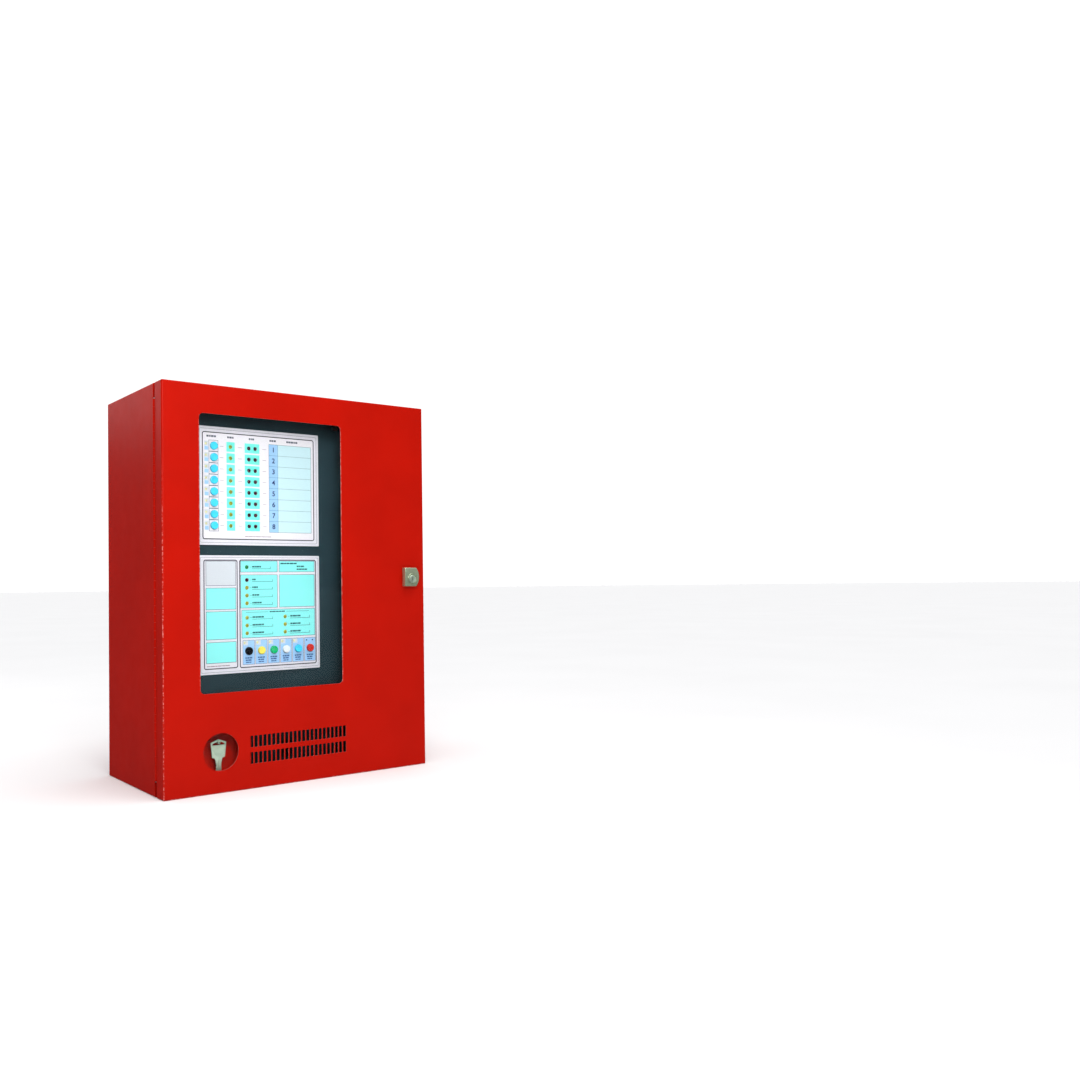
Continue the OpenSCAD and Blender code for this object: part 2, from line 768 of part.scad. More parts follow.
// Lamp with a domed front, a flange and two legs down to its board.
module lamp(r, out) {
    seat = board_front - 3;
    long = seat - face_front + out;
    leg_r = 0.25;
    translate([0, seat, 0]) rotate([90, 0, 0]) {
        rotate_extrude() {
            square([r, long - r]);
            square([r + 0.3, 1]);
            translate([0, long - r]) intersection() {
                circle(r, $fn = 32);
                square(r);
            }
        }
    }
    for (s = [-1, 1]) at([s * r / 2, 0]) rod(leg_r, seat - 0.1, board_front);
}

module yellow_leds() color([0.85, 0.65, 0.1])
    for (p = concat(zone_yellow, control_status, control_fault)) at(p) lamp(led_r, led_out);

module red_leds() color([0.35, 0.03, 0.05])
    for (p = concat(zone_red, control_red)) at(p) lamp(led_r, led_out);

module green_led() color([0.05, 0.6, 0.3])
    for (p = control_green) at(p) lamp(led_r, led_out);

module button_leds() color([0.95, 0.85, 0.5])
    for (p = concat(zone_small, control_small)) at(p) lamp(small_led_r, small_led_out);

// ---- Electronics behind the inner plate ----

module spacer(r, bore_r, y_front, y_back) difference() {
    rod(r, y_front, y_back);
    rod(bore_r, y_front - eps, y_back + eps);
}

module standoffs() color(steel) {
    for (z = [zone_z, control_z], p = face_studs)
        at(p + [face_x, z]) spacer(2.8, face_stud_r + loose, plate_back, board_front);
    for (p = main_studs) at(p) {
        spacer(3.5, face_stud_r + fit, main_back, back_inside);
        rod(face_stud_r, main_front - 4, back_inside);
    }
}

module board_nuts() color(steel) {
    for (z = [zone_z, control_z], p = face_studs)
        at(p + [face_x, z]) nut(3, 2.4, face_stud_r + fit, board_back);
    for (p = main_studs) at(p) nut(3, 2.4, face_stud_r + fit, main_front - 2.4);
}

// Flat cable that follows a path of [depth, height] points at one place across.
module flat_cable(x, w, path) {
    t = 1.2;
    back = [for (i = [len(path) - 1 : -1 : 0]) path[i] + [0, t]];
    translate([x - w / 2, 0, 0]) rotate([90, 0, 90]) linear_extrude(w) polygon(concat(path, back));
}

module ribbon_cable() color([0.75, 0.75, 0.72]) {
    plug = [30, 8, 8];
    cable_w = 24;
    low = control_z + 10;
    high = main_z - main_h / 2 + 16;
    path = [[board_back + plug[1], low], [-115, low], [-60, high], [main_front - plug[1], high]];
    flat_cable(face_x, cable_w, path);
    translate([face_x - plug[0] / 2, board_back, low - 3]) cube(plug);
    translate([face_x - plug[0] / 2, main_front - plug[1], high - 3]) cube(plug);
}

module main_board() color(board_green) difference() {
    slab(main_front, main_back) translate([main_x, main_z]) square([main_w, main_h], center = true);
    for (p = main_studs) at(p) rod(face_stud_r + loose, main_front - eps, main_back + eps);
}

// Row of five screw terminal blocks along the top of the main board.
module terminal_blocks() color([0.15, 0.45, 0.25]) {
    block = [34, 12];
    block_d = 16;
    block_pitch = 38;
    way_pitch = 6.6;
    for (i = [-2 : 2])
        translate([main_x + i * block_pitch, 0, main_z + main_h / 2 - block[1] * 1.5]) difference() {
            slab(main_front - block_d, main_front) square(block, center = true);
            for (j = [-2 : 2]) {
                at([j * way_pitch, 0]) rod(2, main_front - block_d - eps, main_front - 10);
                translate([j * way_pitch, main_front - 5, 0]) cylinder(r = 1.8, h = block[1]);
            }
        }
}

module relays() color([0.15, 0.2, 0.5]) {
    case = [19, 15.5, 15.5];
    pitch = 30;
    for (i = [0 : 3]) translate([main_x - 70 + i * pitch, 0, main_z + 15])
        slab(main_front - case[2], main_front) round_rect(case[0], case[1], 1);
}

module capacitors() color([0.1, 0.1, 0.3]) {
    can_r = 8;
    can_h = 25;
    pitch = 22;
    for (i = [0 : 2]) at([main_x + 50 + i * pitch, main_z - 20]) rod(can_r, main_front - can_h, main_front);
}

// Laminated core with a winding around its middle limb, on two feet.
module transformer() at(transformer_place) {
    core_w = 76;
    core_h = 64;
    core_front = -38;
    core_back = -12;
    limb = 13;
    gap = 12.5;
    slack = 0.25;
    foot_w = 10;
    winding_h = core_h - 2 * limb;
    color(steel) slab(core_front, core_back) difference() {
        square([core_w, core_h], center = true);
        for (s = [-1, 1])
            translate([s * (limb + slack + gap / 2), 0]) square([gap, winding_h], center = true);
    }
    color([0.8, 0.6, 0.25]) difference() {
        slab(core_front - gap, back_inside - 0.1) square([2 * (limb + gap), winding_h - 0.2], center = true);
        slab(core_front - 0.05, core_back + 0.05) square([2 * (limb + slack) + 0.2, core_h], center = true);
    }
    color(steel) for (s = [-1, 1]) translate([s * (core_w - foot_w) / 2, 0, 0])
        slab(core_back, back_inside) square([foot_w, core_h], center = true);
}

// Sounder behind the vents, on the back of the inner plate.
module buzzer() color(black_plastic) at([vent_x, vent_rows[1]]) {
    case_r = 18;
    mouth_r = 6;
    ears = [50, 10];
    difference() {
        union() {
            rod(case_r, plate_back, plate_back + case_r);
            slab(plate_back, plate_back + 3) round_rect(ears[0], ears[1], 3);
        }
        rod(mouth_r, plate_back - eps, plate_back + 8);
    }
}

// Two sealed batteries side by side, each with two tab terminals.
module batteries() for (s = [-1, 1]) translate([s * battery_x, battery_y, battery_floor]) {
    color([0.2, 0.21, 0.23]) {
        linear_extrude(battery_h - 8) round_rect(battery_w, battery_d, 3);
        translate([0, 0, battery_h - 8.1]) linear_extrude(8.1) round_rect(battery_w - 4, battery_d - 4, 3);
    }
    color(steel) for (t = [-1, 1])
        translate([t * terminal_x - 3, lead_y - 0.5 - battery_y, battery_h]) cube([6, 1, tab_h]);
}

// Steel band across the batteries, with a foot at each end.
module battery_strap() color(steel) {
    reach = battery_x + battery_w / 2 + 2;
    front = battery_y - battery_d / 2 - strap_t;
    translate([0, 0, strap_z]) linear_extrude(strap_w) for (s = [-1, 1]) scale([s, 1]) {
        translate([-0.1, front]) square([reach + strap_t + 0.1, strap_t]);
        translate([reach, front]) square([strap_t, back_inside - front]);
        translate([reach, back_inside - strap_t]) square([14, strap_t]);
    }
}

// Link between the batteries, and a lead from each up to the main board.
module battery_leads() {
    tab_top = battery_floor + battery_h + tab_h;
    socket = [8, 10, 8];
    socket_z = main_z - main_h / 2 + 6;
    inner = battery_x - terminal_x;
    outer = battery_x + terminal_x;
    minus_x = -140;
    plus_x = -124;
    color(black_plastic) {
        lead([[-outer, tab_top], [-outer, -60], [minus_x, -45], [minus_x, socket_z]]);
        lead([[-inner, tab_top], [-inner, tab_top + 15], [inner, tab_top + 15], [inner, tab_top]]);
    }
    color(panel_red)
        lead([[outer, tab_top], [outer, -105], [105, -60], [-105, -60], [plus_x, -42], [plus_x, socket_z]]);
    color(overlay_grey) for (x = [minus_x, plus_x])
        translate([x - socket[0] / 2, main_front - socket[1], socket_z]) cube(socket);
}

cabinet();
gland_plate();
plate_screws();
entry_plugs();
earth_stud();
hinge_cabinet_leaf();
hinge_door_leaf();
hinge_pin();
door();
door_gasket();
door_nuts();
window_pane();
window_retainer();
lock_body();
lock_nut();
lock_plug();
lock_cam();
lock_cam_screw();
key_glass();
key_glass_seal();
key_pocket();
key_hook();
spare_key();
inner_plate();
inner_plate_brackets();
zone_faceplate();
zone_board();
control_faceplate();
control_board();
zone_button(0);  // zone_button_1
zone_button(1);  // zone_button_2
zone_button(2);  // zone_button_3
zone_button(3);  // zone_button_4
zone_button(4);  // zone_button_5
zone_button(5);  // zone_button_6
zone_button(6);  // zone_button_7
zone_button(7);  // zone_button_8
push_button(control_buttons[0], [0.05, 0.05, 0.06]);  // black_button
push_button(control_buttons[1], [0.9, 0.75, 0.15]);  // yellow_button
push_button(control_buttons[2], [0.05, 0.6, 0.35]);  // green_button
push_button(control_buttons[3], [0.95, 0.95, 0.95]);  // white_button
push_button(control_buttons[4], [0.1, 0.6, 0.85]);  // blue_button
push_button(control_buttons[5], [0.8, 0.1, 0.08]);  // red_button
push_switches();
yellow_leds();
red_leds();
green_led();
button_leds();
standoffs();
board_nuts();
ribbon_cable();
main_board();
terminal_blocks();
relays();
capacitors();
transformer();
buzzer();
batteries();
battery_strap();
battery_leads();
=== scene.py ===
import json
import math

import bmesh
import bpy
from mathutils import Matrix, Vector


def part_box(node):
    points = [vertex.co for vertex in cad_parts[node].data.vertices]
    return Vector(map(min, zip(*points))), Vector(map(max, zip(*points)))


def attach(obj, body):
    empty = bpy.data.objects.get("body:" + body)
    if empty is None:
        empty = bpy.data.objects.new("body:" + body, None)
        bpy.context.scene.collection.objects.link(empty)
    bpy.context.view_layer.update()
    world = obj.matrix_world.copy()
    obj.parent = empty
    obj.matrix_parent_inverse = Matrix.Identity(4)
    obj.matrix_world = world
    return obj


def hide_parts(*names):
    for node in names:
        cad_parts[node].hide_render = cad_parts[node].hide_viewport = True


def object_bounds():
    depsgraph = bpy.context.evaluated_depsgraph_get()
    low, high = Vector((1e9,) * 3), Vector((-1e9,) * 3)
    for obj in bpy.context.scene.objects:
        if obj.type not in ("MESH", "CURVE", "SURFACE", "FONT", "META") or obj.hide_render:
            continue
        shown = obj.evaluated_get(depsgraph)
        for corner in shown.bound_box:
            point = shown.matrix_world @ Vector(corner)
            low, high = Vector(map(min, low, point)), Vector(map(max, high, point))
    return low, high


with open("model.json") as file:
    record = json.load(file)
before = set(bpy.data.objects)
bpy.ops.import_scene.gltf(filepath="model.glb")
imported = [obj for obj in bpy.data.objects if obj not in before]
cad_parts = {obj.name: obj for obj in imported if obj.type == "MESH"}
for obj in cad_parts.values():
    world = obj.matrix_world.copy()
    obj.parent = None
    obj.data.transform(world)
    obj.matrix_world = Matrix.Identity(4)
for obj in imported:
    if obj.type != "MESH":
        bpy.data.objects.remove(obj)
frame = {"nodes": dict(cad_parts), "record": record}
cad_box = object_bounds()
MM = 0.001
SHEET = 1.2 * MM                # the door's sheet steel, and the key pocket's
PANE_RIM = 12 * MM              # how far the window pane reaches past its opening

# ---------------------------------------------------------------- places and colours


def middle(node):
    low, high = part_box(node)
    return (Vector(low) + Vector(high)) / 2


def size(node):
    low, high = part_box(node)
    return Vector(high) - Vector(low)


def srgb(red, green, blue):
    """A colour given on a 0 to 255 scale, as linear values."""
    def one(v):
        v = v / 255
        return v / 12.92 if v <= 0.04045 else ((v + 0.055) / 1.055) ** 2.4
    return (one(red), one(green), one(blue), 1.0)


def shade(colour, factor):
    """A darker or lighter version of a colour."""
    return tuple(min(1.0, c * factor) for c in colour[:3]) + (1.0,)


door_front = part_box("door")[0][1]
lock_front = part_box("lock_body")[0][1]
lock_spot = middle("lock_plug")

# ---------------------------------------------------------------- materials


class Surface:
    """A node material with one Principled shader and textures in object space."""

    def __init__(self, name):
        self.material = bpy.data.materials.new(name)
        self.material.use_nodes = True
        tree = self.material.node_tree
        self.nodes, self.links = tree.nodes, tree.links
        self.nodes.clear()
        output = self.nodes.new("ShaderNodeOutputMaterial")
        self.bsdf = self.nodes.new("ShaderNodeBsdfPrincipled")
        self.links.new(self.bsdf.outputs["BSDF"], output.inputs["Surface"])
        place = self.nodes.new("ShaderNodeTexCoord")
        self.coords, self.normal = place.outputs["Object"], place.outputs["Normal"]

    def set(self, **values):
        for key, value in values.items():
            self.bsdf.inputs[key.replace("_", " ")].default_value = value
        return self

    def stretched(self, x, y, z):
        """Texture coordinates with another scale along each axis."""
        node = self.nodes.new("ShaderNodeMapping")
        node.inputs["Scale"].default_value = (x, y, z)
        self.links.new(self.coords, node.inputs["Vector"])
        return node.outputs["Vector"]

    def split(self, vector):
        node = self.nodes.new("ShaderNodeSeparateXYZ")
        self.links.new(vector, node.inputs["Vector"])
        return node.outputs["X"], node.outputs["Y"], node.outputs["Z"]

    def noise(self, scale, detail=3.0, rough=0.5, vector=None):
        node = self.nodes.new("ShaderNodeTexNoise")
        node.inputs["Scale"].default_value = scale
        node.inputs["Detail"].default_value = detail
        node.inputs["Roughness"].default_value = rough
        self.links.new(vector or self.coords, node.inputs["Vector"])
        return node.outputs["Fac"]

    def ramp(self, fac, stops):
        """The colour at fac, between two stops of a place and a colour."""
        node = self.nodes.new("ShaderNodeValToRGB")
        for element, (place, colour) in zip(node.color_ramp.elements, stops):
            element.position = place
            element.color = colour
        self.links.new(fac, node.inputs["Fac"])
        return node.outputs["Color"]

    def math(self, operation, first, second=None):
        node = self.nodes.new("ShaderNodeMath")
        node.operation = operation
        for socket, value in zip(node.inputs, (first, second)):
            if isinstance(value, (int, float)):
                socket.default_value = value
            elif value is not None:
                self.links.new(value, socket)
        return node.outputs["Value"]

    def product(self, first, *others):
        for value in others:
            first = self.math("MULTIPLY", first, value)
        return first

    def inverse(self, value):
        return self.math("SUBTRACT", 1.0, value)

    def distance(self, value, place):
        """How far a value is from a place, to either side."""
        return self.math("ABSOLUTE", self.math("SUBTRACT", value, place))

    def step(self, value, start, full):
        """0 below start, 1 above full, and smooth between them."""
        node = self.nodes.new("ShaderNodeMapRange")
        node.interpolation_type = "SMOOTHSTEP"
        node.inputs["From Min"].default_value = start
        node.inputs["From Max"].default_value = full
        self.links.new(value, node.inputs["Value"])
        return node.outputs["Result"]

    def span(self, fac, low, high):
        """Stretches 0 to 1 into low to high."""
        node = self.nodes.new("ShaderNodeMapRange")
        node.inputs["To Min"].default_value = low
        node.inputs["To Max"].default_value = high
        self.links.new(fac, node.inputs["Value"])
        return node.outputs["Result"]

    def tint(self, fac, colour):
        """Lays a second colour over the base colour where fac is high."""
        base = self.bsdf.inputs["Base Color"]
        under = base.links[0].from_socket
        mix = self.nodes.new("ShaderNodeMix")
        mix.data_type = "RGBA"
        first, second, mixed = mix.inputs[6], mix.inputs[7], mix.outputs[2]     # the colour sockets
        self.links.new(fac, mix.inputs["Factor"])
        self.links.new(under, first)
        second.default_value = colour
        self.links.new(mixed, base)

    def mottle(self, colour, scale, amount):
        """Base colour that wanders a little to each side of one colour."""
        stops = [(0.3, shade(colour, 1 - amount)), (0.7, shade(colour, 1 + amount))]
        self.links.new(self.ramp(self.noise(scale), stops), self.bsdf.inputs["Base Color"])

    def gloss(self, scale, low, high, vector=None):
        """Roughness that wanders between two values."""
        fac = self.noise(scale, 2.0, vector=vector)
        self.links.new(self.span(fac, low, high), self.bsdf.inputs["Roughness"])

    def bump(self, height, strength, distance):
        node = self.nodes.new("ShaderNodeBump")
        node.inputs["Strength"].default_value = strength
        node.inputs["Distance"].default_value = distance
        self.links.new(height, node.inputs["Height"])
        self.links.new(node.outputs["Normal"], self.bsdf.inputs["Normal"])


def powder_coat(name, colour, rough=0.33):
    """Oven-cured paint on sheet steel: faint cloudiness and orange peel."""
    s = Surface(name)
    s.mottle(colour, 14, 0.05)
    s.gloss(60, rough - 0.05, rough + 0.07)
    s.bump(s.noise(1300, 2.0), 0.15, 0.0002)
    return s.set(Specular_IOR_Level=0.12)


def paint_bend_highlights(s, specks):
    """Paints a highlight in pale specks on the outer bends: fully below the middle, and not at all near
    the top.
    """
    half = size("door") / 2
    x, y, z = s.split(s.coords)
    out = s.math("MULTIPLY", y, -1.0)
    start, full = 1.8 * MM, 0.2 * MM            # distances from an outer face
    at_side = s.step(s.math("ABSOLUTE", x), half.x - start, half.x - full)
    at_end = s.step(s.math("ABSOLUTE", z), half.z - start, half.z - full)
    at_front = s.step(out, -door_front - start, -door_front - full)
    bends = s.math("MAXIMUM", s.product(at_side, at_front), s.product(at_end, at_front))
    bends = s.math("MAXIMUM", bends, s.product(at_side, at_end))
    low_down = s.inverse(s.step(z, 0.0, half.z * 0.7))
    # painted highlight: pale pink on the bends, in specks
    s.tint(s.product(bends, specks, low_down, 0.9), srgb(244, 184, 178))


def in_door_sheet(s):
    """1 in the sheet of the door's front, and 0 behind it."""
    behind = s.math("SUBTRACT", s.split(s.coords)[1], door_front)
    return s.inverse(s.step(behind, SHEET, SHEET + 0.2 * MM))


def paint_cut_edge_highlights(s, specks):
    """Paints a pale highlight, stronger in the specks, on the cut edges of the openings in the door's
    front.
    """
    half = size("door") / 2
    x, _, z = s.split(s.coords)
    edge_on = s.step(s.inverse(s.math("ABSOLUTE", s.split(s.normal)[1])), 0.5, 0.8)
    start, full = 3 * MM, 2 * MM                # the door's folded rim, which isn't cut
    rim = s.math("MAXIMUM", s.step(s.math("ABSOLUTE", x), half.x - start, half.x - full),
                 s.step(s.math("ABSOLUTE", z), half.z - start, half.z - full))
    strength = s.math("ADD", s.math("MULTIPLY", specks, 0.45), 0.4)
    # painted highlight: pale pink on every cut edge in the door's front sheet
    s.tint(s.product(s.inverse(rim), edge_on, in_door_sheet(s), strength), srgb(226, 146, 138))


def paint_window_side_highlights(s, specks):
    """Paints a pale highlight in specks beside the window's upright edges."""
    pane, reach = middle("window_pane"), size("window_pane") / 2
    open_w, open_h = reach.x - PANE_RIM, reach.z - PANE_RIM
    x, _, z = s.split(s.coords)
    beside = s.inverse(s.step(s.distance(x, pane.x), open_w + 0.5 * MM, open_w + 1.1 * MM))
    level = s.inverse(s.step(s.distance(z, pane.z), open_h - 6 * MM, open_h))
    # painted highlight: a pale pink band in specks just beside the opening
    s.tint(s.product(beside, level, in_door_sheet(s), specks, 0.5), srgb(236, 180, 170))


def red_paint():
    """Red powder coat, with painted highlights in pale specks on its bends, its cut edges and beside the
    window.
    """
    s = powder_coat("red powder coat", srgb(186, 26, 8))
    specks = s.step(s.noise(420, 5.0, 0.7), 0.48, 0.6)
    paint_bend_highlights(s, specks)
    paint_cut_edge_highlights(s, specks)
    paint_window_side_highlights(s, specks)
    return s.material


def metal(name, colour, low, high, grain=(1, 1, 1), metallic=1.0):
    """Bare or plated metal, whose fine marks are drawn out where the grain is uneven."""
    s = Surface(name)
    s.mottle(colour, 90, 0.08)
    brushed = s.stretched(*grain)
    marks = 700
    s.gloss(marks, low, high, brushed)
    s.bump(s.noise(marks, vector=brushed), 0.08, 0.0001)
    return s.set(Metallic=metallic).material


def plastic(name, colour, rough, grain=0.06, coat=0.0, specular=0.5):
    """Moulded plastic with a fine grain."""
    s = Surface(name)
    s.mottle(colour, 120, 0.06)
    s.gloss(300, rough - 0.05, rough + 0.06)
    s.bump(s.noise(1800, 2.0), grain, 0.0001)
    s.set(Coat_Weight=coat, Coat_Roughness=0.08, Specular_IOR_Level=specular)
    return s.material


def film(name, colour):
    """Screen-printed polyester: a flat ink with a very fine matt texture."""
    s = Surface(name)
    s.mottle(colour, 260, 0.015)
    s.gloss(500, 0.38, 0.5)
    s.bump(s.noise(2600, 1.0), 0.04, 0.00005)
    return s.set(Specular_IOR_Level=0.35).material


def lens(name, colour, middle_shade):
    """Tinted epoxy of a lamp, with painted shade that darkens the middle of its dome, and a wet gloss."""
    s = Surface(name)
    outward = s.math("ABSOLUTE", s.split(s.normal)[1])
    # painted shade: the parts of the dome that face straight out are darker
    stops = [(0.35, colour), (0.95, shade(colour, middle_shade))]
    s.links.new(s.ramp(outward, stops), s.bsdf.inputs["Base Color"])
    s.gloss(400, 0.08, 0.16)
    return s.set(Coat_Weight=0.8, Coat_Roughness=0.04, Subsurface_Weight=0.2,
                 Subsurface_Radius=(0.001, 0.001, 0.001)).material


def clear(name, tint):
    """A flat clear sheet with faint waves. Its low index keeps reflections weak."""
    s = Surface(name)
    s.gloss(30, 0.0, 0.03)
    s.bump(s.noise(9, 1.0), 0.02, 0.001)
    return s.set(Base_Color=tint, Transmission_Weight=1.0, IOR=1.2).material


def circuit_board(name):
    """Solder mask over copper tracks that show as slightly raised, lighter lines."""
    s = Surface(name)
    brick = s.nodes.new("ShaderNodeTexBrick")
    brick.inputs["Scale"].default_value = 120
    brick.inputs["Mortar Size"].default_value = 0.05
    brick.inputs["Color1"].default_value = srgb(12, 78, 42)
    brick.inputs["Color2"].default_value = srgb(16, 88, 48)
    brick.inputs["Mortar"].default_value = srgb(34, 120, 66)
    turn = s.nodes.new("ShaderNodeMapping")
    turn.inputs["Rotation"].default_value = (math.radians(90), 0, 0)
    s.links.new(s.coords, turn.inputs["Vector"])
    s.links.new(turn.outputs["Vector"], brick.inputs["Vector"])
    s.links.new(brick.outputs["Color"], s.bsdf.inputs["Base Color"])
    s.gloss(300, 0.25, 0.38)
    s.bump(brick.outputs["Fac"], 0.15, 0.0001)
    return s.material


def foam(name, colour):
    """Closed-cell rubber with coarse, matt pores."""
    s = Surface(name)
    s.mottle(colour, 500, 0.25)
    s.bump(s.noise(900, 4.0, 0.7), 0.5, 0.0006)
    return s.set(Roughness=0.95).material


slot_material = {
    "red_paint": red_paint(),
    "zinc_steel": metal("zinc plated steel", srgb(196, 198, 196), 0.22, 0.38),
    "chrome": metal("satin chrome", srgb(196, 208, 178), 0.14, 0.26, metallic=0.7),
    "nickel_brass": metal("nickel silver", srgb(180, 196, 178), 0.24, 0.4, metallic=0.5),
    "yellow_brass": metal("yellow brass", srgb(206, 168, 92), 0.2, 0.35),
    "black_foam": foam("black foam rubber", srgb(26, 26, 28)),
    "clear_pane": clear("clear polycarbonate", (0.98, 0.99, 1.0, 1.0)),
    "key_glass": clear("clear glass", (0.96, 0.99, 0.98, 1.0)),
    "charcoal_paint": powder_coat("charcoal powder coat", srgb(48, 66, 71), 0.42).material,
    "black_plastic": plastic("black plastic", srgb(30, 30, 33), 0.45),
    "overlay_sheet": film("faceplate grey", srgb(200, 203, 208)),
    "board_green": circuit_board("green circuit board"),
    "button_blue": plastic("blue button", srgb(66, 196, 224), 0.25, 0.02, coat=0.3),
    "button_black": plastic("black button", srgb(8, 10, 16), 0.35, 0.02, specular=0.15),
    "button_yellow": plastic("yellow button", srgb(226, 208, 84), 0.25, 0.02, coat=0.3),
    "button_green": plastic("green button", srgb(8, 168, 104), 0.25, 0.02, coat=0.3),
    "button_white": plastic("white button", srgb(214, 222, 222), 0.25, 0.02, coat=0.3),
    "button_red": plastic("red button", srgb(190, 36, 20), 0.3, 0.02, coat=0.2),
    "lamp_yellow": lens("yellow lamp", srgb(206, 206, 76), 0.4),
    "lamp_red": lens("red lamp", srgb(84, 26, 48), 0.4),
    "lamp_green": lens("green lamp", srgb(30, 176, 90), 0.4),
    "lamp_cream": lens("cream lamp", srgb(240, 236, 176), 0.9),
    "terminal_green": plastic("green terminal block", srgb(40, 130, 66), 0.5),
    "relay_blue": plastic("blue relay case", srgb(30, 62, 150), 0.35),
    "capacitor_blue": plastic("capacitor sleeve", srgb(28, 30, 84), 0.3),
    "ribbon_grey": plastic("grey ribbon cable", srgb(170, 170, 165), 0.5),
    "laminated_steel": metal("varnished laminations", srgb(110, 100, 92), 0.4, 0.55, (1, 1, 30)),
    "battery_case": plastic("battery case", srgb(62, 64, 68), 0.5),
    "lead_rubber": plastic("lead insulation", srgb(30, 30, 32), 0.45),
}

node_slot = {part["node"]: part["material_slot"] for part in frame["record"]["subparts"]}
for node, obj in frame["nodes"].items():
    for material_slot in obj.material_slots:
        material_slot.material = slot_material[node_slot[node]]

# ---------------------------------------------------------------- making pieces

HARD_EDGE = math.radians(32)    # faces that meet at more than this keep a sharp edge


def soften(mesh):
    """Smooth shading between the hard edges."""
    bm = bmesh.new()
    bm.from_mesh(mesh)
    for face in bm.faces:
        face.smooth = True
    for edge in bm.edges:
        edge.smooth = len(edge.link_faces) == 2 and edge.calc_face_angle(math.pi) <= HARD_EDGE
    bm.to_mesh(mesh)
    bm.free()


def add(name, data):
    obj = bpy.data.objects.new(name, data)
    bpy.context.scene.collection.objects.link(obj)
    return obj


def piece(name, bm, body, slot_name, materials=None):
    """Turns a bmesh into an object that rides on a body, in its slot's material or in several."""
    bmesh.ops.remove_doubles(bm, verts=bm.verts, dist=1e-7)
    bmesh.ops.recalc_face_normals(bm, faces=bm.faces)
    mesh = bpy.data.meshes.new(name)
    bm.to_mesh(mesh)
    bm.free()
    for material in materials or [slot_material[slot_name]]:
        mesh.materials.append(material)
    soften(mesh)
    obj = add(name, mesh)
    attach(obj, body)
    return obj


def evaluated(obj):
    """A new mesh of an object with its modifiers, or of a text."""
    graph = bpy.context.evaluated_depsgraph_get()
    graph.update()
    return bpy.data.meshes.new_from_object(obj.evaluated_get(graph))


def settle(obj):
    """Applies an object's modifiers."""
    mesh = evaluated(obj)
    obj.modifiers.clear()
    obj.data = mesh
    soften(mesh)


def bevel(obj, width, segments, angle):
    """Rounds the edges where faces meet at more than an angle in degrees."""
    mod = obj.modifiers.new("bevel", "BEVEL")
    mod.width = width
    mod.segments = segments
    mod.limit_method = "ANGLE"
    mod.angle_limit = math.radians(angle)
    settle(obj)


def cut(obj, cutter_bm):
    """Takes the cutter's volume out of an object."""
    mesh = bpy.data.meshes.new("cutter")
    bmesh.ops.recalc_face_normals(cutter_bm, faces=cutter_bm.faces)
    cutter_bm.to_mesh(mesh)
    cutter_bm.free()
    cutter = add("cutter", mesh)
    mod = obj.modifiers.new("cut", "BOOLEAN")
    mod.operation = "DIFFERENCE"
    mod.solver = "EXACT"
    mod.object = cutter
    settle(obj)
    bpy.data.objects.remove(cutter)


def arc(cx, cy, r, start, end, steps):
    """Points of an arc between two angles in degrees, both ends included."""
    angles = [math.radians(start + (end - start) * i / steps) for i in range(steps + 1)]
    return [(cx + r * math.cos(a), cy + r * math.sin(a)) for a in angles]


def round_outline(x, z, r, steps):
    return arc(x, z, r, 0, 360, steps)[:-1]


def rounded(x0, x1, z0, z1, r, steps=6):
    """A rectangle in front view, with round corners unless r is 0."""
    if r == 0:
        return [(x0, z0), (x1, z0), (x1, z1), (x0, z1)]
    corners = ((x1 - r, z0 + r, -90), (x1 - r, z1 - r, 0), (x0 + r, z1 - r, 90), (x0 + r, z0 + r, 180))
    return [point for cx, cz, start in corners for point in arc(cx, cz, r, start, start + 90, steps)]


def prism(bm, outline, y_front, y_back, index=0):
    """A block with an outline in front view. The index is that of its material."""
    front = [bm.verts.new((x, y_front, z)) for x, z in outline]
    back = [bm.verts.new((x, y_back, z)) for x, z in outline]
    faces = [bm.faces.new(front), bm.faces.new(list(reversed(back)))]
    count = len(outline)
    for i in range(count):
        j = (i + 1) % count
        faces.append(bm.faces.new((front[i], back[i], back[j], front[j])))
    for face in faces:
        face.material_index = index


def ring(bm, outer, inner, y_front, y_back, index):
    """A prism with a hole. Both outlines have the same number of points."""
    count = len(outer)
    loops = [[bm.verts.new((x, y, z)) for x, z in line]
             for line in (outer, inner) for y in (y_front, y_back)]
    out_f, out_b, in_f, in_b = loops
    for i in range(count):
        j = (i + 1) % count
        for quad in ((out_f[i], out_f[j], in_f[j], in_f[i]), (in_b[i], in_b[j], out_b[j], out_b[i]),
                     (out_f[j], out_f[i], out_b[i], out_b[j]), (in_f[i], in_f[j], in_b[j], in_b[i])):
            bm.faces.new(quad).material_index = index


def lathe(bm, x, z, profile, steps=48):
    """Turns (radius, y) points about an axis along Y. A radius of 0 closes an end."""
    rows = []
    for r, y in profile:
        circle = round_outline(x, z, r, steps) if r > 0 else [(x, z)]
        rows.append([bm.verts.new((px, y, pz)) for px, pz in circle])
    for a, b in zip(rows, rows[1:]):
        for i in range(steps):
            j = (i + 1) % steps
            corners = [a[i % len(a)], a[j % len(a)], b[j % len(b)], b[i % len(b)]]
            unique = list(dict.fromkeys(corners))
            if len(unique) > 2:
                bm.faces.new(unique)


# ---------------------------------------------------------------- push buttons


